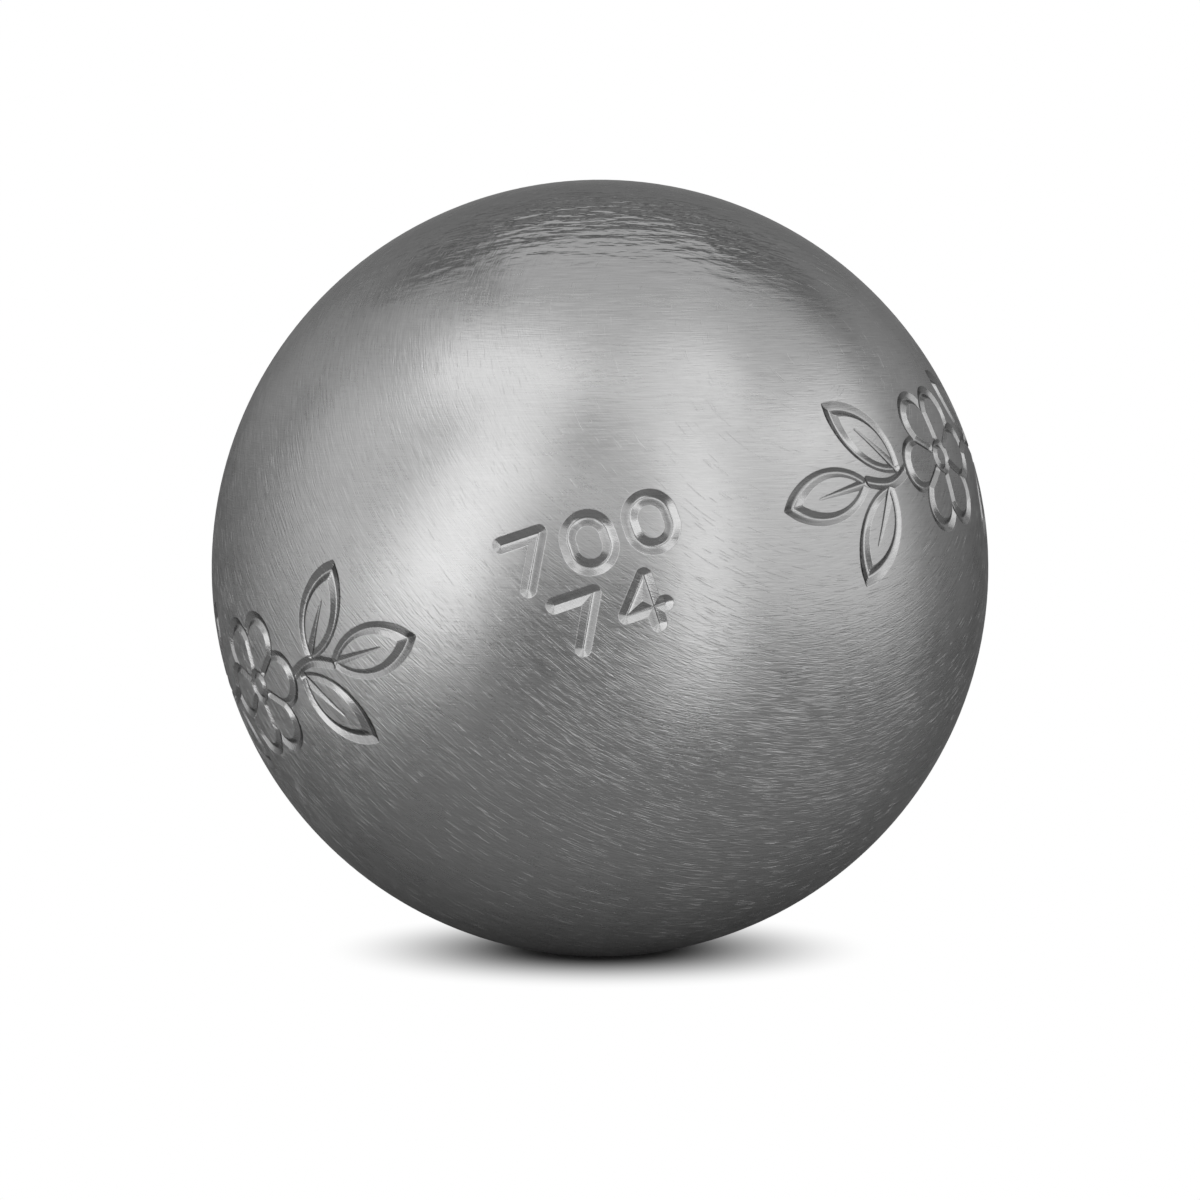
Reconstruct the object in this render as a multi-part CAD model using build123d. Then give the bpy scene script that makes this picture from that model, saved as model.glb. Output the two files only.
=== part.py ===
"""Petanque boule: two forged steel half shells, centred on a register and closed by a welded seam.

The seam lies under the ball's engraved band, and the two share one axis. Every piece is drawn about
that axis, with the seam on the XY plane and the middle of the band on -Y, and is turned at the end
to the way the ball lies. Millimetres, +Z up, origin at the centre of the ball.
"""

import os
from math import radians, sqrt, tan

from build123d import *

# Ball
BALL_DIAMETER = 74.0
WALL = 6.15

# Register: the upper shell's lip, which centres the halves and backs the weld
REGISTER_THICKNESS = 2.0
REGISTER_LENGTH = 2.4
REGISTER_CLEARANCE = 0.05
REGISTER_END_GAP = 0.2

# Seam: a V groove filled by three weld runs, the last one turned flush with the ball
ROOT_GAP = 1.2
GROOVE_ANGLE = 50.0
ROOT_RUN_HEIGHT = 1.3
FILL_RUN_HEIGHT = 1.4
RUN_CROWN = 0.2

# How the ball lies: the band rises to the right and its middle looks slightly up
BAND_ROLL = 18.6
BAND_PITCH = 4.1

RADIUS = BALL_DIAMETER / 2
CAVITY_RADIUS = RADIUS - WALL
REGISTER_RADIUS = CAVITY_RADIUS + REGISTER_THICKNESS
BORE_RADIUS = REGISTER_RADIUS + REGISTER_CLEARANCE
SEAT_DEPTH = REGISTER_LENGTH + REGISTER_END_GAP
GROOVE_SLOPE = tan(radians(GROOVE_ANGLE / 2))


# Sections are drawn as points (distance from the axis, height above the seam)


def groove_half_width(radius):
    """Half the width of the V groove at a distance from the axis."""
    return ROOT_GAP / 2 + (radius - REGISTER_RADIUS) * GROOVE_SLOPE


def groove_mouth():
    """The point where the upper side of the groove meets the ball."""
    at_axis = groove_half_width(0)
    squares = 1 + GROOVE_SLOPE**2
    radius = (sqrt(squares * RADIUS**2 - at_axis**2) - GROOVE_SLOPE * at_axis) / squares
    return radius, groove_half_width(radius)


def mirrored(point):
    """The same point on the other side of the seam."""
    return point[0], -point[1]


def on_sphere(radius, height):
    """The point of a sphere's section at a height above the seam."""
    return sqrt(radius**2 - height**2), height


def line(start, end):
    return Line((start[0], 0, start[1]), (end[0], 0, end[1]))


def arc(start, middle, end):
    return ThreePointArc(*[(radius, 0, height) for radius, height in (start, middle, end)])


def sphere_arc(radius, start, end):
    """The sphere's section from one of its points to another."""
    middle = (Vector(*start) + Vector(*end)).normalized() * radius
    return arc(start, (middle.X, middle.Y), end)


def turned(*edges):
    """The solid that a closed section makes when it is turned about the axis."""
    return revolve(make_face(Curve() + list(edges)), axis=Axis.Z)


def upper_half_shell():
    """The half with the lip, which reaches past the seam inside the other half."""
    pole, cavity_pole = (0, RADIUS), (0, CAVITY_RADIUS)
    mouth = groove_mouth()
    root = (REGISTER_RADIUS, ROOT_GAP / 2)
    lip = (REGISTER_RADIUS, -REGISTER_LENGTH)
    lip_inside = on_sphere(CAVITY_RADIUS, -REGISTER_LENGTH)
    return turned(
        sphere_arc(RADIUS, pole, mouth),
        line(mouth, root),
        line(root, lip),
        line(lip, lip_inside),
        sphere_arc(CAVITY_RADIUS, lip_inside, cavity_pole),
        line(cavity_pole, pole),
    )


def lower_half_shell():
    """The half with the bore and seat that take the lip."""
    pole, cavity_pole = (0, -RADIUS), (0, -CAVITY_RADIUS)
    mouth = mirrored(groove_mouth())
    root = (BORE_RADIUS, -groove_half_width(BORE_RADIUS))
    seat = (BORE_RADIUS, -SEAT_DEPTH)
    seat_inside = on_sphere(CAVITY_RADIUS, -SEAT_DEPTH)
    return turned(
        sphere_arc(RADIUS, pole, mouth),
        line(mouth, root),
        line(root, seat),
        line(seat, seat_inside),
        sphere_arc(CAVITY_RADIUS, seat_inside, cavity_pole),
        line(cavity_pole, pole),
    )


def run_face(radius):
    """The crowned face of a weld run, from the groove's upper side to its lower one."""
    edge = (radius, groove_half_width(radius))
    return arc(edge, (radius + RUN_CROWN, 0), mirrored(edge))


def weld_runs():
    """The root, fill and cap runs, each lying on the one before and against the groove's sides."""
    root_edge = (REGISTER_RADIUS, ROOT_GAP / 2)
    root_radius = REGISTER_RADIUS + ROOT_RUN_HEIGHT
    faces = [
        line(root_edge, mirrored(root_edge)),
        run_face(root_radius),
        run_face(root_radius + FILL_RUN_HEIGHT),
        sphere_arc(RADIUS, groove_mouth(), mirrored(groove_mouth())),
    ]
    return [
        turned(inside, outside, Line(inside @ 0, outside @ 0), Line(inside @ 1, outside @ 1))
        for inside, outside in zip(faces, faces[1:])
    ]


root_run, fill_run, cap_run = weld_runs()
nodes = {
    "upper_half_shell": upper_half_shell(),
    "lower_half_shell": lower_half_shell(),
    "weld_root_run": root_run,
    "weld_fill_run": fill_run,
    "weld_cap_run": cap_run,
}
lie = Rot(-BAND_PITCH, 0, 0) * Rot(0, -BAND_ROLL, 0)

os.makedirs("parts", exist_ok=True)
for name, shape in nodes.items():
    export_step(lie * shape, f"parts/{name}.step")
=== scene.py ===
"""Looks of a petanque boule: engraved steel shells, the welded seam, a pale floor and soft studio light."""

import math

import bpy
import numpy as np
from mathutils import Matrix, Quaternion, Vector


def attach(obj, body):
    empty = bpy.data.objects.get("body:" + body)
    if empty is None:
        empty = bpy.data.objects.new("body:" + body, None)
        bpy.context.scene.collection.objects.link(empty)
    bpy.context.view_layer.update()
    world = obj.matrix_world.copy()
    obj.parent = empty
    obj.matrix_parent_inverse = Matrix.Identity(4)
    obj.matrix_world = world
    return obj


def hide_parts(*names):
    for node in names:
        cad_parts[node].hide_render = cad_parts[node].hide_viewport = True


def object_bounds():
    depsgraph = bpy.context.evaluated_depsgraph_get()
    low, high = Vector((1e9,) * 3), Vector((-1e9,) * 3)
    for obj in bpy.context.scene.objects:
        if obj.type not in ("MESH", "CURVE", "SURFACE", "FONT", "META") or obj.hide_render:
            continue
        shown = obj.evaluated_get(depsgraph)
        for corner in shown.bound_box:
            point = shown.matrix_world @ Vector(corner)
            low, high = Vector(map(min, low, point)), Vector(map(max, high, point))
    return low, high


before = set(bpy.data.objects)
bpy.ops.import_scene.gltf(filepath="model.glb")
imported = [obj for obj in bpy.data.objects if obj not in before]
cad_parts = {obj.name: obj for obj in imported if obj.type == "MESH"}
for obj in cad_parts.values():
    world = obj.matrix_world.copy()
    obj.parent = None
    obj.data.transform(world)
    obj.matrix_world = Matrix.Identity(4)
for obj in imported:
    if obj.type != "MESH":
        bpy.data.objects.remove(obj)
cad_low, cad_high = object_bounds()

# Engraved band. Sprays of leaves and flowers and two plain numbers, cut into the finished ball with a
# pointed graver, on a strip that runs round the seam. It crosses both shells and the weld's cap run.
# Strip coordinates, in millimetres: along the seam from the front to the right, and up to the pole.
MM = 0.001
BALL_RADIUS = min(cad_high - cad_low) / 2 / MM

# A quarter of the way round the ball: from the front to a side, or from the seam to a pole
SIDE = BALL_RADIUS * math.pi / 2

# A line that thickens or thins has its widths, first and last, as shares of the usual one
LINE_HALF_WIDTH = 0.58
LEAF_LINE = (0.75, 1.40)
MIDRIB_LINE = (0.90, 0.30)
PETAL_LINE = (0.75, 1.20)
INNER_LINE = 0.80

# A cut of less than no width stands for none
GRAVER_POINT = 0.12
CUT_LAYERS = ("outlines", "strokes", "side_strokes", "last_strokes")
PLAIN = (0.0, 0.0, -1.0)
CUT_MARGIN = 0.25

STEM_WAVE = 5.5
STEM_RISE = 0.7
LEAF_LENGTH = 8.6
LEAF_WIDTH = 3.9
LEAF_ANGLE = 52.0
LEAF_GAP = 0.5
LOW_LEAF_PLACE = 1.1
MIDRIB_LENGTH = 5.6
FLOWER_RADIUS = 6.6
PETAL_COUNT = 6
PETAL_RADIUS = 2.2
EYE_RADIUS = 1.2
SPOKE_START = 1.92

# Each number with the height of its middle. Inner points of a digit are shares of its half width or height
NUMBERS = (("700", 2.9), ("74", -3.4))
DIGIT_HEIGHT = 4.3
DIGIT_WIDTH = 3.5
DIGIT_PITCH = 5.6
DIGIT_HALF_WIDTH = 0.74
SEVEN_FOOT = -0.35
FOUR_POST = 0.40
FOUR_BAR = -0.30


def cut(across, beyond, half_width):
    """A cut as three numbers at each place: the signed distance from its line, the distance past the
    line's end, and half the cut's width there."""
    return np.stack(np.broadcast_arrays(across, beyond, half_width), axis=-1)


def inset(cuts):
    """How far inside a cut's edge a place lies: half the width less the distance from the line, with
    the V's bottom rounded by the graver's point."""
    across, beyond, half_width = np.moveaxis(cuts, -1, 0)
    return half_width - np.sqrt(across**2 + beyond**2 + GRAVER_POINT**2)


def deepest(*cuts):
    """Of several cuts, at each place the one in which it lies deepest."""
    cuts = np.stack(cuts)
    pick = np.argmax(inset(cuts), axis=0)
    return np.take_along_axis(cuts, pick[None, :, None], axis=0)[0]


def turned_to(along, up, origin, angle):
    """Strip coordinates as seen from a motif's origin, along and across its own direction."""
    cosine, sine = math.cos(math.radians(angle)), math.sin(math.radians(angle))
    x, y = along - origin[0], up - origin[1]
    return cosine * x + sine * y, cosine * y - sine * x


def stroke(x, y, start, end):
    """Signed distance from the straight line through two points, distance past either point, and the
    share of the way from one to the other."""
    length = math.dist(start, end)
    run, rise = (end[0] - start[0]) / length, (end[1] - start[1]) / length
    way = (x - start[0]) * run + (y - start[1]) * rise
    across = (y - start[1]) * run - (x - start[0]) * rise
    return across, np.maximum(np.abs(way - length / 2) - length / 2, 0), np.clip(way / length, 0, 1)


def thickening(share, line):
    """Half the width of a line: its first width, and a share of the way from that to its last."""
    first, last = line
    return LINE_HALF_WIDTH * (first + (last - first) * share)


def leaf(along, up, base, angle):
    """Cuts of an outline that swells towards the tip, and of a midrib that thins out before it. The
    outline is a pointed oval: the part that two equal discs share, whose rims cross at its points."""
    x, y = turned_to(along, up, base, angle)
    x = x - LEAF_GAP
    disc = (LEAF_LENGTH**2 + LEAF_WIDTH**2) / (4 * LEAF_WIDTH)
    outline = np.hypot(x - LEAF_LENGTH / 2, np.abs(y) + disc - LEAF_WIDTH / 2) - disc
    swell = thickening(np.clip(x / LEAF_LENGTH, 0, 1) ** 2, LEAF_LINE)
    across, beyond, share = stroke(x, y, (0, 0), (MIDRIB_LENGTH, 0))
    return cut(outline, 0, swell), cut(across, beyond, thickening(share, MIDRIB_LINE))


def flower(along, up, centre):
    """Cuts of a ring for the eye, of round petals about it, and of the lines between the petals. The
    petals' outline lies a radius from lines that run out from the eye; angles are folded into one petal."""
    x, y = along - centre, up
    radius, angle = np.hypot(x, y), np.arctan2(y, x)
    sector = 2 * math.pi / PETAL_COUNT
    petal = (angle + sector / 2) % sector - sector / 2
    out, side = radius * np.cos(petal), radius * np.sin(petal)
    outline = np.hypot(np.maximum(out - FLOWER_RADIUS + PETAL_RADIUS, 0), side) - PETAL_RADIUS
    swell = thickening(np.clip(radius / FLOWER_RADIUS, 0, 1) ** 4, PETAL_LINE)
    between = angle % sector - sector / 2
    notch = PETAL_RADIUS / math.sin(sector / 2)
    way = radius * np.cos(between)
    past = np.maximum(np.maximum(SPOKE_START - way, way - notch), 0)
    petals = cut(outline, 0, swell)
    eye = cut(radius - EYE_RADIUS, 0, LINE_HALF_WIDTH * INNER_LINE)
    spokes = cut(radius * np.sin(between), past, LINE_HALF_WIDTH * INNER_LINE)
    return deepest(petals, eye), spokes


def stem(along, up, start, end):
    """Cut of a sine wave from one place on the strip's middle to another. The distance from it is its
    height above the wave, less for a steep wave."""
    phase = math.pi / STEM_WAVE * (along - start)
    slope = STEM_RISE * math.pi / STEM_WAVE * np.cos(phase)
    across = (up - STEM_RISE * np.sin(phase)) / np.hypot(1, slope)
    return cut(across, np.maximum(np.maximum(start - along, along - end), 0), LINE_HALF_WIDTH)


def spray(along, up):
    """Cuts of stem, leaves, flower, more stem and a leaf at the tip, from the strip's start on."""
    centre = 2 * STEM_WAVE + LEAF_GAP + FLOWER_RADIUS
    tip = centre + FLOWER_RADIUS + LEAF_GAP
    leaves = [leaf(along, up, base, angle) for base, angle in (
        ((STEM_WAVE / 2, STEM_RISE), LEAF_ANGLE),
        ((STEM_WAVE, 0), -LEAF_ANGLE),
        ((tip + STEM_WAVE / 2, STEM_RISE), LEAF_ANGLE),
        ((tip + LOW_LEAF_PLACE, 0), -LEAF_ANGLE),
        ((tip + STEM_WAVE, 0), 0),
    )]
    outlines, ribs = zip(*leaves)
    rings, spokes = flower(along, up, centre)
    stems = stem(along, up, 0, 2 * STEM_WAVE), stem(along, up, tip, tip + STEM_WAVE)
    return deepest(rings, *outlines), deepest(spokes, *stems), deepest(*ribs)


def digit(x, y, figure):
    """Cuts of a figure that stands round the origin, with the layer that each belongs to. Strokes that
    meet lie in different layers."""
    right, top = DIGIT_WIDTH / 2, DIGIT_HEIGHT / 2
    if figure == "0":
        across, beyond, _ = stroke(x, y, (0, right - top), (0, top - right))
        return [(0, cut(np.hypot(across, beyond) - right, 0, DIGIT_HALF_WIDTH))]
    foot, post, bar = SEVEN_FOOT * right, FOUR_POST * right, FOUR_BAR * top
    strokes = {
        "7": (((-right, top), (right, top)), ((right, top), (foot, -top))),
        "4": (((post, top), (-right, bar)), ((-right, bar), (right, bar)), ((post, top), (post, -top))),
    }
    lines = [stroke(x, y, start, end)[:2] for start, end in strokes[figure]]
    return [(layer, cut(*line, DIGIT_HALF_WIDTH)) for layer, line in enumerate(lines, 1)]


def engraved(along, up):
    """Cuts of the whole band, by layer. A spray starts at each side of the ball towards the front and
    the back; half-turns of the ball about its three axes take each of the four into any other. The
    numbers stand on the front. Places away from every cut are plain."""
    along = (along + 2 * SIDE) % (4 * SIDE) - 2 * SIDE
    flip = np.where((np.abs(along) - SIDE) * along < 0, -1.0, 1.0)
    outlines, strokes, ribs = spray(np.abs(np.abs(along) - SIDE), up * flip)
    strokes[:, 0] *= flip
    nothing = np.broadcast_to(PLAIN, outlines.shape)
    layers = [[outlines], [strokes], [ribs], [nothing]]
    for number, height in NUMBERS:
        for place, figure in enumerate(number):
            middle = (place - (len(number) - 1) / 2) * DIGIT_PITCH
            for layer, line in digit(along - middle, up - height, figure):
                layers[layer].append(line)
    cuts = np.stack([deepest(*layer) for layer in layers], axis=1)
    return np.where(inset(cuts)[..., None] > -CUT_MARGIN, cuts, PLAIN)


# Upper half shell. Forged and turned steel, ground to a satin finish; its lip reaches past the seam
# into the lower half, which it centres, and the groove beside the lip is closed by the weld.
WALL = 6.15
CAVITY_RADIUS = BALL_RADIUS - WALL
REGISTER_THICKNESS = 2.0
REGISTER_RADIUS = CAVITY_RADIUS + REGISTER_THICKNESS
REGISTER_LENGTH = 2.4
ROOT_GAP = 1.2
GROOVE_ANGLE = 50.0
GROOVE_SLOPE = math.tan(math.radians(GROOVE_ANGLE / 2))
BAND_ROLL = 18.6
BAND_PITCH = 4.1

# Rings of the mesh: fine ones in the band, coarse ones over the dome, and between them two at a height
# above the band, with a multiple of the dome's columns
CELL = 0.15
BAND_TOP = 9.5
FINE_COLUMNS = 1536
DOME_COLUMNS = 192
DOME_ROWS = 40
DOME_EDGE = 2.0
BETWEEN_ROWS = ((0.9, 2), (0.35, 4))

# Depth of a cut for each millimetre inside its edge, and how far inside the mesh's flat floor starts
CUT_SLOPE = 0.78
MESH_INSET = 0.30


def groove_half_width(radius):
    """Half the width of the weld's V groove at a distance from the axis."""
    return ROOT_GAP / 2 + (radius - REGISTER_RADIUS) * GROOVE_SLOPE


def groove_mouth():
    """Distance along the ball from the seam to the groove's edge: where the groove's straight side
    meets the ball's circle."""
    at_axis, squares = groove_half_width(0), 1 + GROOVE_SLOPE**2
    radius = (math.sqrt(squares * BALL_RADIUS**2 - at_axis**2) - GROOVE_SLOPE * at_axis) / squares
    return BALL_RADIUS * math.asin(groove_half_width(radius) / BALL_RADIUS)


def no_cuts(columns):
    """Layers of cuts for places that have none."""
    return np.broadcast_to(PLAIN, (columns, len(CUT_LAYERS), 3))


def ball_row(up, columns):
    """A ring of points on the engraved ball, with the ball's normals and the engraving's cuts. The mesh
    follows a cut's walls and gives it a flat floor; the material draws the V."""
    along = np.arange(columns) / columns * 4 * SIDE
    turn, tilt = along / BALL_RADIUS, up / BALL_RADIUS
    ring, height = math.cos(tilt), np.full(columns, math.sin(tilt))
    outward = np.stack([ring * np.sin(turn), -ring * np.cos(turn), height], axis=1)
    cuts = no_cuts(columns)
    if abs(up) <= BAND_TOP:
        cuts = engraved(along, np.full(columns, up))
    depth = CUT_SLOPE * np.clip(inset(cuts).max(axis=1), 0, MESH_INSET)
    return outward * (BALL_RADIUS - depth)[:, None], outward, cuts


def plain_row(radius, height, columns):
    """A ring of points about the axis, with no normals of its own."""
    turn = np.arange(columns) / columns * 2 * math.pi
    points = np.stack([radius * np.sin(turn), -radius * np.cos(turn), np.full(columns, height)], axis=1)
    return points, np.zeros_like(points), no_cuts(columns)


def strips(rows, closed):
    """Faces between neighbouring rings. Rings of equal count are joined by quads, a ring of twice as
    many points by five-sided faces, and a single point by triangles."""
    counts = [len(row[0]) for row in rows]
    starts = np.concatenate([[0], np.cumsum(counts)[:-1]])
    last = len(rows) - 1
    pairs = [(row, row + 1) for row in range(last)] + [(last, 0)] * closed
    faces = []
    for above, below in pairs:
        tops, lows = counts[above], counts[below]
        top, low = starts[above], starts[below]
        step = np.arange(min(tops, lows) if min(tops, lows) > 1 else max(tops, lows))
        if tops == lows:
            corners = [top + step, low + step, low + (step + 1) % lows, top + (step + 1) % tops]
        elif tops == 1:
            corners = [0 * step + top, low + step, low + (step + 1) % lows]
        elif lows == 1:
            corners = [top + step, 0 * step + low, top + (step + 1) % tops]
        elif tops == 2 * lows:
            ahead = top + (2 * step + 2) % tops
            corners = [top + 2 * step, low + step, low + (step + 1) % lows, ahead, top + 2 * step + 1]
        else:
            ahead = low + (2 * step + 2) % lows
            corners = [top + step, low + 2 * step, low + 2 * step + 1, ahead, top + (step + 1) % tops]
        faces.append(np.stack(corners, axis=1))
    return faces


def lying():
    """Turn from the seam's own axes to the way the ball lies: roll about Y, then pitch about X."""
    roll, pitch = math.radians(-BAND_ROLL), math.radians(-BAND_PITCH)
    about_y = [[math.cos(roll), 0, math.sin(roll)], [0, 1, 0], [-math.sin(roll), 0, math.cos(roll)]]
    about_x = [[1, 0, 0], [0, math.cos(pitch), -math.sin(pitch)], [0, math.sin(pitch), math.cos(pitch)]]
    return np.array(about_x) @ np.array(about_y)


def turned_piece(name, rows, closed=False):
    """A closed skin through rings about the seam's axis, laid the way the ball lies. Faces on the ball
    take its normals, so that only the material shades the cuts."""
    points, normals, cuts = [np.concatenate(parts) for parts in zip(*rows)]
    faces = strips(rows, closed)
    corners = np.concatenate([face.ravel() for face in faces])
    sizes = np.concatenate([np.full(len(face), face.shape[1]) for face in faces])
    mesh = bpy.data.meshes.new(name)
    mesh.vertices.add(len(points))
    mesh.vertices.foreach_set("co", (points @ lying().T * MM).ravel())
    mesh.loops.add(len(corners))
    mesh.loops.foreach_set("vertex_index", corners)
    mesh.polygons.add(len(sizes))
    mesh.polygons.foreach_set("loop_start", np.cumsum(sizes) - sizes)
    mesh.update(calc_edges=True)
    for layer, label in enumerate(CUT_LAYERS):
        data = mesh.attributes.new(label, "FLOAT_VECTOR", "POINT").data
        data.foreach_set("vector", cuts[:, layer].ravel())
    on_ball = np.any(normals != 0, axis=1)[corners]
    whole = np.repeat(np.minimum.reduceat(on_ball, np.cumsum(sizes) - sizes), sizes)
    mesh.normals_split_custom_set(np.where(whole[:, None], (normals @ lying().T)[corners], 0))
    piece = bpy.data.objects.new(name, mesh)
    bpy.context.scene.collection.objects.link(piece)
    return piece


def dome_rows(way):
    """Rings of one half of the ball's outside, from its pole to the edge of the weld groove. way is 1
    for the upper half and -1 for the lower one."""
    mouth = groove_mouth()
    fine = np.linspace(BAND_TOP, mouth, round((BAND_TOP - mouth) / CELL) + 1)
    points, normals, cuts = plain_row(0, way * BALL_RADIUS, 1)
    normals[:] = (0, 0, way)
    rows = [(points, normals, cuts)]
    for up in np.linspace(SIDE, BAND_TOP + DOME_EDGE, DOME_ROWS)[1:]:
        rows.append(ball_row(way * up, DOME_COLUMNS))
    for above, times in BETWEEN_ROWS:
        rows.append(ball_row(way * (BAND_TOP + above), DOME_COLUMNS * times))
    return rows + [ball_row(way * up, FINE_COLUMNS) for up in fine]


def cavity_rows(start, way):
    """Rings of one half of the cavity's wall, from a height above the seam to its pole."""
    tilts = np.linspace(math.asin(start / CAVITY_RADIUS), way * math.pi / 2, DOME_ROWS // 2)[1:-1]
    rows = [
        plain_row(CAVITY_RADIUS * math.cos(tilt), CAVITY_RADIUS * math.sin(tilt), DOME_COLUMNS)
        for tilt in tilts
    ]
    return rows + [plain_row(0, way * CAVITY_RADIUS, 1)]


upper = turned_piece("upper_shell_skin", dome_rows(1) + [
    plain_row(REGISTER_RADIUS, ROOT_GAP / 2, FINE_COLUMNS // 2),
    plain_row(REGISTER_RADIUS, -REGISTER_LENGTH, FINE_COLUMNS // 4),
    plain_row(math.sqrt(CAVITY_RADIUS**2 - REGISTER_LENGTH**2), -REGISTER_LENGTH, DOME_COLUMNS),
] + cavity_rows(-REGISTER_LENGTH, 1))


class Value:
    """A socket of a node tree that takes part in sums as a number does, or the bare tree."""

    def __init__(self, tree, socket=None):
        self.tree, self.socket = tree, socket

    def node(self, kind, settings, inputs, output=0):
        """Adds a node of a kind, sets it, fills its inputs with numbers or links, gives an output."""
        made = self.tree.nodes.new(kind)
        for name, setting in settings.items():
            setattr(made, name, setting)
        for name, value in inputs.items():
            if isinstance(value, Value):
                self.tree.links.new(value.socket, made.inputs[name])
            else:
                made.inputs[name].default_value = value
        return Value(self.tree, made.outputs[output])

    def maths(self, operation, *others):
        """A Math node on this value and any others."""
        values = dict(enumerate((self,) + others))
        return self.node("ShaderNodeMath", {"operation": operation}, values)

    def __add__(self, other):
        return self.maths("ADD", other)

    def __mul__(self, other):
        return self.maths("MULTIPLY", other)

    def __sub__(self, other):
        return self.maths("SUBTRACT", other)

    def __truediv__(self, other):
        return self.maths("DIVIDE", other)

    def __rsub__(self, other):
        return self.node("ShaderNodeMath", {"operation": "SUBTRACT"}, {0: other, 1: self})

    def parts(self):
        """The three numbers of a vector."""
        split = self.node("ShaderNodeSeparateXYZ", {}, {"Vector": self})
        return [Value(self.tree, output) for output in split.socket.node.outputs]

    __radd__ = __add__
    __rmul__ = __mul__


# Points are directions from the middle of the ball, and a zone, top or back gives the shares of its radius
# between which a finish comes or goes. A mark's size is its length round its point and its width towards
# it. A scratch's levels are the noise at which it starts and is full; patches, more and less add to that.
RIM_EASE = 0.05
GRIND_POINT = (0.33, -0.69, 0.65)
POINT_RADII = (10.0, 30.0)
LEVEL_POINT = (0, 0, 1)
LEVEL_RADII = (5.0, 12.0)
LEVEL_STRENGTH = (0.90, 0.35)
WANDER = 0.3
WANDER_LENGTH = 12.0
CLOUD_LENGTH = 7.0

FINE_SIZE = (2.2, 0.12)
FINE_HEIGHT = 0.020
FINE_IN_CUTS = 0.5
COARSE_POINT = (-0.90, -0.40, -0.18)
COARSE_RISE = 1.6
LOW_RISE = 0.9

RIPPLE_POINT = (0.0, 0.50, 0.87)
RIPPLE_SIZE = (3.0, 0.95)
RIPPLE_HEIGHT = 0.270
RIPPLE_TOP = (0.64, 0.90)
RIPPLE_BACK = (-0.35, -0.10)

SCRATCH_POINT = (0.48, -0.67, 0.57)
SCRATCH_SIZE = (1.8, 0.10)
SCRATCH_DEPTH = 0.018
SCRATCH_LEVELS = (0.0, 0.30)
SCRATCH_PATCHES = 0.25
DEEP_SIZE = (2.2, 0.11)
DEEP_DEPTH = 0.034
DEEP_LEVELS = (0.20, 0.27)
DEEP_PATCHES = 0.20
HANDLED_POINT = (0.30, -0.88, -0.37)
HANDLED_MORE = 0.070
COARSE_MORE = 0.060
ELSEWHERE_LESS = 0.055
WORK_ZONE = (0.70, 0.96)
WEAR_ZONE = (-0.35, 0.25)
WEAR_ABOVE = 0.3

# Brightness between the two steels, and roughness: in a cut, and what each finish adds
DARK_STEEL = (0.46, 0.46, 0.46, 1)
BRIGHT_STEEL = (0.70, 0.70, 0.70, 1)
EDGE_TINT = (0.5, 0.5, 0.5, 1)
# The steel's colour is darker in a cut than on the ball: painted shade in the hollows
CUT_BRIGHTNESS_WITH_PAINTED_SHADE = 0.15
# Scratches and deep marks lighten the steel's colour: painted glints, where the marks catch the lamps
BRIGHTNESS_WITH_PAINTED_LIGHT = {"fine": 1.0, "scratch": 0.45, "deep": 0.60, "on_ball": 0.25}
CUT_ROUGHNESS = 0.25
ROUGHNESS = {"cloud": 0.10, "fine": 0.15, "scratch": 0.15, "deep": 0.32, "on_ball": 0.05, "top": -0.21}


def object_place(tree):
    """A point's place on the object."""
    return Value(tree).node("ShaderNodeTexCoord", {}, {}, "Object")


def noise(at, scale, detail):
    """Smooth noise from 0 to 1 at a place. Its scale is how many times finer than a unit it is."""
    return at.node("ShaderNodeTexNoise", {}, {"Vector": at, "Scale": scale, "Detail": detail}, "Fac")


def ramp(value, low, high):
    """A smooth step from 0 at a low value to 1 at a high one."""
    limits = {"Value": value, "From Min": low, "From Max": high}
    return value.node("ShaderNodeMapRange", {"interpolation_type": "SMOOTHSTEP"}, limits)


def blended(share, first, second):
    """A colour that goes from a first one to a second. The Mix node's third output is its colour."""
    colours = {"Factor": share, "A": first, "B": second}
    return share.node("ShaderNodeMix", {"data_type": "RGBA"}, colours, output=2)


def bumped(height):
    """The normal of a surface that has a height in millimetres."""
    relief = {"Strength": 1.0, "Distance": MM, "Height": height}
    return height.node("ShaderNodeBump", {}, relief, "Normal")


def circles(outward, push, point):
    """Coordinates about a point of the ball: two across its axis, and the way along the ball to it,
    pushed about a little."""
    to_pole = Vector(point).rotation_difference((0, 0, 1)).to_euler()
    turned = outward.node("ShaderNodeMapping", {}, {"Vector": outward, "Rotation": to_pole}, "Vector")
    x, y, z = turned.parts()
    return x * BALL_RADIUS, y * BALL_RADIUS, z.maths("ARCCOSINE") * BALL_RADIUS + push


def away(about, radii):
    """How far from the axis of a point: 0 within the first radius, 1 beyond the second."""
    x, y, _ = about
    return ramp((x * x + y * y).maths("SQRT"), *radii)


def marks(about, size, detail=2.0):
    """Noise about zero, of a length round a point of the ball and a width towards it."""
    x, y, way = about
    length, width = size
    drawn_out = x.node("ShaderNodeCombineXYZ", {}, {"X": x / length, "Y": y / length, "Z": way / width})
    return noise(drawn_out, 1.0, detail) - 0.5


def zone(outward, point):
    """A zone of the ball: 1 at a point and at the one opposite, falling to 0 away from both."""
    product = {"operation": "DOT_PRODUCT"}
    near = outward.node("ShaderNodeVectorMath", product, {0: outward, 1: point}, "Value")
    return ramp(near.maths("ABSOLUTE"), *WORK_ZONE)


def inset_in(place, layer):
    """How far inside the edge of a layer's cuts a place lies, from the three numbers in the mesh."""
    numbers = place.node("ShaderNodeAttribute", {"attribute_name": layer}, {}, "Vector")
    across, beyond, half_width = numbers.parts()
    return half_width - (across * across + beyond * beyond + GRAVER_POINT**2).maths("SQRT")


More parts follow.
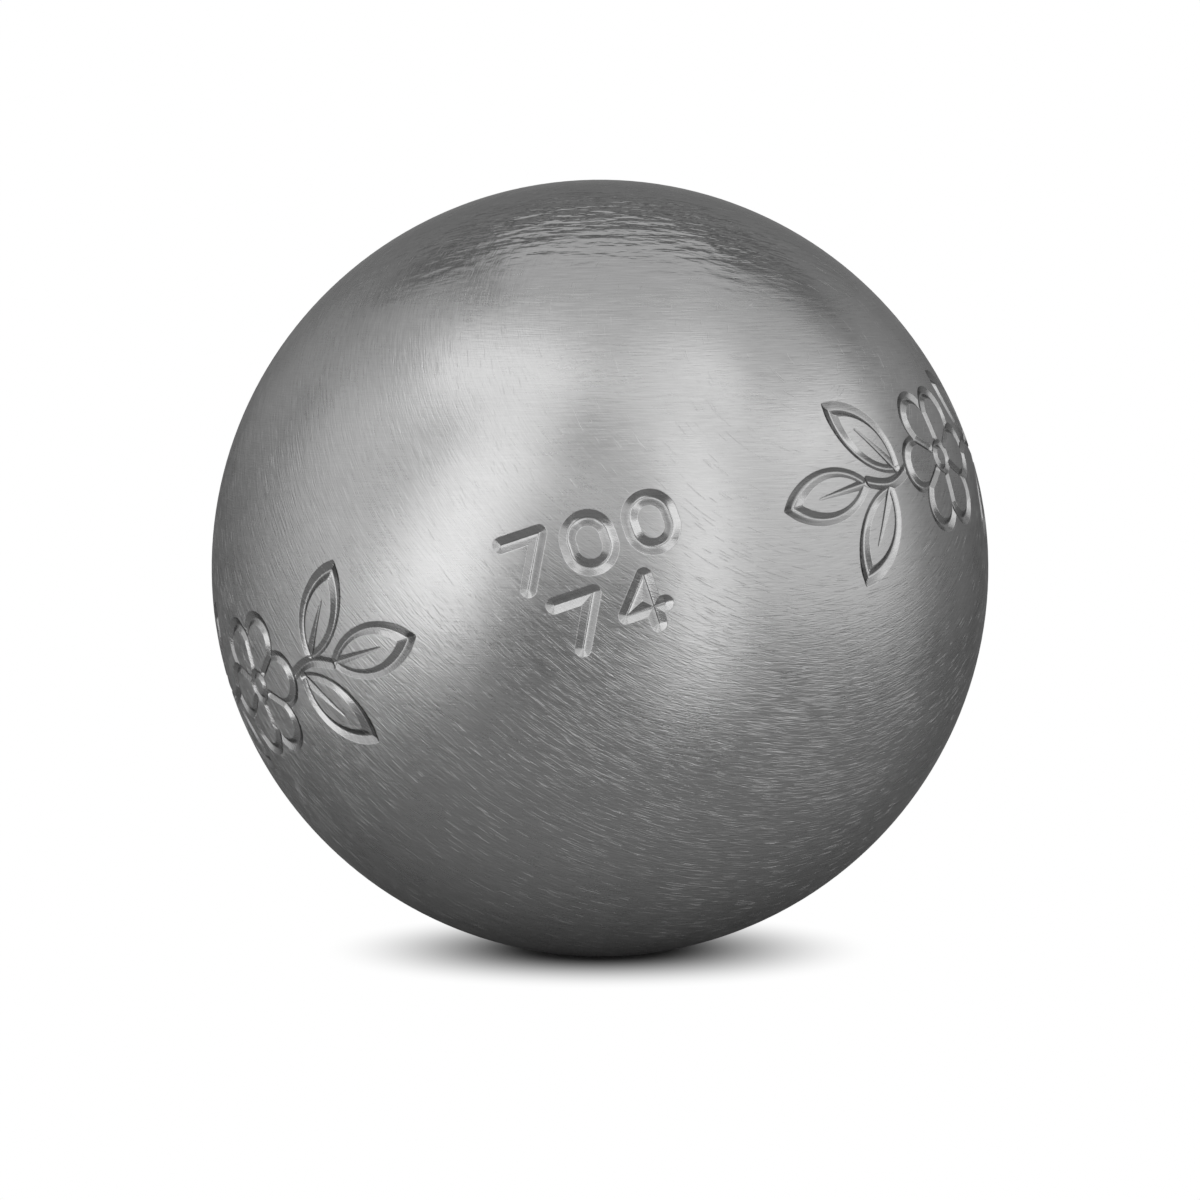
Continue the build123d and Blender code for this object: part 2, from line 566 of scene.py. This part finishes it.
def ground_steel():
    """Satin steel. Fine grinding marks run in circles about one point of the ball, and level near it;
    ripples lie across the top, and scratches in circles about another point, most of them where the ball
    is handled. All are noise drawn out round a point. The cuts get their V shape from the distances in
    the mesh."""
    material = bpy.data.materials.new("ground_steel")
    material.use_nodes = True
    tree = material.node_tree
    place = object_place(tree)
    outward = place.node("ShaderNodeVectorMath", {"operation": "NORMALIZE"}, {0: place})
    _, backwards, upwards = outward.parts()
    push = noise(outward, BALL_RADIUS / WANDER_LENGTH, detail=1.0) * WANDER
    cloud = noise(outward, BALL_RADIUS / CLOUD_LENGTH, detail=2.0) - 0.5

    inside = inset_in(place, CUT_LAYERS[0])
    for layer in CUT_LAYERS[1:]:
        inside = inside.maths("MAXIMUM", inset_in(place, layer))
    on_ball = 1 - ramp(inside, 0.0, RIM_EASE)
    depth = inside.maths("SMOOTH_MAX", 0.0, RIM_EASE) * CUT_SLOPE

    grinding = circles(outward, push, GRIND_POINT)
    scratching = circles(outward, push, SCRATCH_POINT)
    level = circles(outward, push, LEVEL_POINT)
    off_point = away(grinding, POINT_RADII)
    near_point, far_off = LEVEL_STRENGTH
    level_share = (near_point - off_point * (near_point - far_off)) * away(level, LEVEL_RADII)

    def both(about, size, detail=2.0):
        """Marks in circles about a point, giving way to level ones near the grinding point."""
        return marks(about, size, detail) * off_point + marks(level, size, detail) * level_share

    coarse = zone(outward, COARSE_POINT)
    low = 1 - ramp(upwards, *WEAR_ZONE)
    top = ramp(upwards, *RIPPLE_TOP) * (1 - ramp(backwards, *RIPPLE_BACK))
    worn = (low * (1 - WEAR_ABOVE) + WEAR_ABOVE) * on_ball
    handled = zone(outward, HANDLED_POINT) * HANDLED_MORE + coarse * COARSE_MORE - ELSEWHERE_LESS

    fine = both(grinding, FINE_SIZE)
    ripple = marks(circles(outward, push, RIPPLE_POINT), RIPPLE_SIZE) * top
    light = both(scratching, SCRATCH_SIZE, detail=1.0) + cloud * SCRATCH_PATCHES + handled
    heavy = marks(scratching, DEEP_SIZE, detail=0.0) + cloud * DEEP_PATCHES + handled
    scratch = ramp(light, *SCRATCH_LEVELS) * worn
    deep = ramp(heavy, *DEEP_LEVELS) * worn

    strength = (on_ball * (1 - FINE_IN_CUTS) + FINE_IN_CUTS) * (coarse * COARSE_RISE + low * LOW_RISE + 1)
    ground = fine * FINE_HEIGHT * strength + ripple * RIPPLE_HEIGHT * on_ball
    height = ground - scratch * SCRATCH_DEPTH - deep * DEEP_DEPTH - depth
    finishes = {
        "cloud": cloud, "fine": fine, "scratch": scratch, "deep": deep, "on_ball": on_ball, "top": top}

    def finished(in_cut, added):
        """The value in a cut, with what each finish adds."""
        return sum((finishes[name] * share for name, share in added.items()), in_cut)

    shader = tree.nodes["Principled BSDF"]
    # The colour holds painted light: painted shade in the cuts, painted glints along the scratches
    colour = blended(finished(CUT_BRIGHTNESS_WITH_PAINTED_SHADE, BRIGHTNESS_WITH_PAINTED_LIGHT), DARK_STEEL, BRIGHT_STEEL)
    tree.links.new(colour.socket, shader.inputs["Base Color"])
    tree.links.new(finished(CUT_ROUGHNESS, ROUGHNESS).socket, shader.inputs["Roughness"])
    tree.links.new(bumped(height).socket, shader.inputs["Normal"])
    shader.inputs["Metallic"].default_value = 1.0
    shader.inputs["Specular Tint"].default_value = EDGE_TINT
    return material


steel = ground_steel()
upper.data.materials.append(steel)
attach(upper, "root")
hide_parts("upper_half_shell")

# Lower half shell. The same forging in the same ground steel, bored to take the other half's lip. Its
# bevelled rim makes the other side of the weld's groove.
REGISTER_CLEARANCE = 0.05
REGISTER_END_GAP = 0.2
SEAT_DEPTH = REGISTER_LENGTH + REGISTER_END_GAP

bore = REGISTER_RADIUS + REGISTER_CLEARANCE
seat_rows = [
    plain_row(math.sqrt(CAVITY_RADIUS**2 - SEAT_DEPTH**2), -SEAT_DEPTH, DOME_COLUMNS),
    plain_row(bore, -SEAT_DEPTH, FINE_COLUMNS // 4),
    plain_row(bore, -groove_half_width(bore), FINE_COLUMNS // 2),
]
lower_rows = cavity_rows(-SEAT_DEPTH, -1)[::-1] + seat_rows + dome_rows(-1)[::-1]
lower = turned_piece("lower_shell_skin", lower_rows)
lower.data.materials.append(steel)
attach(lower, "root")
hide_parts("lower_half_shell")

# Weld, cap run. The last run of weld metal, turned flush with the ball and ground with it, so that
# the engraving crosses it. It lies on the fill run, against the bevels of both shells.
ROOT_RUN_HEIGHT = 1.3
FILL_RUN_HEIGHT = 1.4
RUN_CROWN = 0.2
CAP_INSIDE_RADIUS = REGISTER_RADIUS + ROOT_RUN_HEIGHT + FILL_RUN_HEIGHT

mouth = groove_mouth()
cap_rows = [ball_row(up, FINE_COLUMNS) for up in np.linspace(mouth, -mouth, round(2 * mouth / CELL) + 1)]
cap_edge = groove_half_width(CAP_INSIDE_RADIUS)
cap_rows += [
    plain_row(CAP_INSIDE_RADIUS, -cap_edge, FINE_COLUMNS // 2),
    plain_row(CAP_INSIDE_RADIUS + RUN_CROWN, 0, FINE_COLUMNS // 2),
    plain_row(CAP_INSIDE_RADIUS, cap_edge, FINE_COLUMNS // 2),
]
cap = turned_piece("weld_cap_skin", cap_rows, closed=True)
cap.data.materials.append(steel)
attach(cap, "root")
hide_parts("weld_cap_run")

# Weld, root and fill runs. Weld metal left as it cooled, tinted by the heat; each run lies on the one
# before it, between the shells' bevels, and the cap run closes them in. The CAD nodes stay in place.
TINT_LENGTH = 2.5
HEAT_BROWN = (0.42, 0.37, 0.30, 1)
HEAT_BLUE = (0.28, 0.30, 0.36, 1)
SCALE_LENGTH = 0.6
SCALE_HEIGHT = 0.03
SCALE_ROUGHNESS = 0.3
WELD_ROUGHNESS = 0.3

weld = bpy.data.materials.new("weld_steel")
weld.use_nodes = True
tree = weld.node_tree
shader = tree.nodes["Principled BSDF"]
place = object_place(tree)
tint = noise(place, 1 / (TINT_LENGTH * MM), detail=2.0)
scale = noise(place, 1 / (SCALE_LENGTH * MM), detail=3.0)
rough = scale * SCALE_ROUGHNESS + WELD_ROUGHNESS
tree.links.new(blended(tint, HEAT_BROWN, HEAT_BLUE).socket, shader.inputs["Base Color"])
tree.links.new(rough.socket, shader.inputs["Roughness"])
tree.links.new(bumped(scale * SCALE_HEIGHT).socket, shader.inputs["Normal"])
shader.inputs["Metallic"].default_value = 1.0
for name in ("weld_root_run", "weld_fill_run"):
    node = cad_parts[name]
    node.data.materials.clear()
    node.data.materials.append(weld)

# Floor and background. A round board and an endless white behind it. The camera sees both as
# white, but for a patch where the ball touches, wider than it is deep, in which it sees the board's grey
# colour: a painted shadow, in which the lamps' real shadow of the ball also falls. The ball shows them
# much dimmer, as in a dark room.
FLOOR_RADIUS = 85.0
FLOOR_SIDES = 128
FLOOR_COLOUR = (0.31, 0.31, 0.31, 1)
WHITE = (1, 1, 1, 1)
PAINTED_SHADOW_RADII = (6.5, 27.0)
PAINTED_SHADOW_DEPTH = 0.70
FLOOR_REFLECTED = 0.03
WORLD_REFLECTED = 0.18

turn = np.arange(FLOOR_SIDES) / FLOOR_SIDES * 2 * math.pi
height = np.full(FLOOR_SIDES, -BALL_RADIUS)
rim = np.stack([FLOOR_RADIUS * np.cos(turn), FLOOR_RADIUS * np.sin(turn), height], axis=1)
floor_mesh = bpy.data.meshes.new("floor")
floor_mesh.from_pydata((rim * MM).tolist(), [], [range(len(rim))])
floor = bpy.data.objects.new("floor", floor_mesh)
bpy.context.scene.collection.objects.link(floor)


def whiteness(tree, reflected):
    """How white a surface is shown: fully to the camera, and dimmer in reflections and through glass."""
    rays = "Is Camera Ray", "Is Glossy Ray", "Is Transmission Ray"
    camera, glossy, through = [Value(tree).node("ShaderNodeLightPath", {}, {}, ray) for ray in rays]
    return camera + (glossy + through) * reflected


pale = bpy.data.materials.new("pale_board")
pale.use_nodes = True
tree = pale.node_tree
tree.nodes.remove(tree.nodes["Principled BSDF"])
x, y, _ = object_place(tree).parts()
# Painted shadow: within these radii the camera sees the board's grey colour, beyond them white
beyond = ramp((x * x + y * y / PAINTED_SHADOW_DEPTH**2).maths("SQRT") / MM, *PAINTED_SHADOW_RADII)
board = x.node("ShaderNodeBsdfDiffuse", {}, {"Color": FLOOR_COLOUR})
white = x.node("ShaderNodeEmission", {}, {"Color": WHITE, "Strength": 1.0})
share = whiteness(tree, FLOOR_REFLECTED) * beyond
shown = x.node("ShaderNodeMixShader", {}, {0: share, 1: board, 2: white})
tree.links.new(shown.socket, tree.nodes["Material Output"].inputs["Surface"])
floor_mesh.materials.append(pale)

world = bpy.data.worlds.new("studio")
world.use_nodes = True
tree = world.node_tree
background = tree.nodes["Background"]
background.inputs["Color"].default_value = WHITE
strength = whiteness(tree, WORLD_REFLECTED).maths("MAXIMUM", WORLD_REFLECTED)
tree.links.new(strength.socket, background.inputs["Strength"])
bpy.context.scene.world = world
bpy.context.scene.view_settings.view_transform = "Standard"

# Studio light. A tall soft box to each side of the camera, with dimmer ones over, beside and behind it,
# and dim ones between them, overhead and at the back. Azimuth from the camera to the right, elevation,
# roll, width and height in degrees as the ball sees them, and radiance, where 1 is white.
LAMP_REACH = 1.0
LAMPS = {
    "left_box": (-42, 10, -20, 30, 66, 1.32),
    "left_top": (-44, 56, 0, 44, 26, 1.05),
    "left_fill": (-82, 9, 0, 48, 56, 0.51),
    "left_back": (-95, 48, 0, 46, 30, 0.31),
    "left_rim": (-126, 12, 0, 36, 44, 0.11),
    "right_box": (29, 4, 0, 22, 70, 1.20),
    "right_top": (32, 52, 0, 36, 28, 0.80),
    "right_fill": (72, 12, 0, 56, 56, 0.63),
    "right_back": (86, 48, 0, 46, 44, 0.43),
    "right_rim": (122, 12, 0, 36, 44, 0.06),
    "front_fill": (-2, 20, 0, 26, 34, 0.50),
    "top_box": (180, 87, 0, 42, 54, 0.44),
    "back_box": (180, 26, 0, 100, 38, 0.20),
}
for name, (azimuth, elevation, roll, width, height, radiance) in LAMPS.items():
    data = bpy.data.lights.new(name, "AREA")
    data.shape = "RECTANGLE"
    data.size = 2 * LAMP_REACH * math.tan(math.radians(width / 2))
    data.size_y = 2 * LAMP_REACH * math.tan(math.radians(height / 2))
    data.energy = radiance * math.pi * data.size * data.size_y
    lamp = bpy.data.objects.new(name, data)
    turn, rise = math.radians(azimuth), math.radians(elevation)
    towards = Vector((math.sin(turn) * math.cos(rise), -math.cos(turn) * math.cos(rise), math.sin(rise)))
    lamp.location = towards * LAMP_REACH
    upright = (-towards).to_track_quat("-Z", "Y")
    lamp.rotation_euler = (upright @ Quaternion((0, 0, 1), math.radians(roll))).to_euler()
    lamp.visible_camera = False
    bpy.context.scene.collection.objects.link(lamp)

# Camera, as in the photograph: a long lens, slightly above the middle of the ball. The ball's radius,
# and the height of its middle above the frame's, are in pixels of the photograph.
LENS = 100.0
SENSOR = 36.0
CAMERA_RISE = 5.0
FRAME_PIXELS = 1200
RADIUS_PIXELS = 388.4
MIDDLE_PIXELS = 32.0

camera_data = bpy.data.cameras.new("camera")
camera_data.lens, camera_data.sensor_width = LENS, SENSOR
seen = math.atan(RADIUS_PIXELS / FRAME_PIXELS * SENSOR / LENS)
reach = BALL_RADIUS * MM / math.sin(seen)
camera = bpy.data.objects.new("camera", camera_data)
rise = math.radians(CAMERA_RISE)
camera.location = (0, -reach * math.cos(rise), reach * math.sin(rise))
camera.rotation_euler = (math.radians(90) - rise, 0, 0)
camera_data.shift_y = -MIDDLE_PIXELS / FRAME_PIXELS
bpy.context.scene.collection.objects.link(camera)
bpy.context.scene.camera = camera
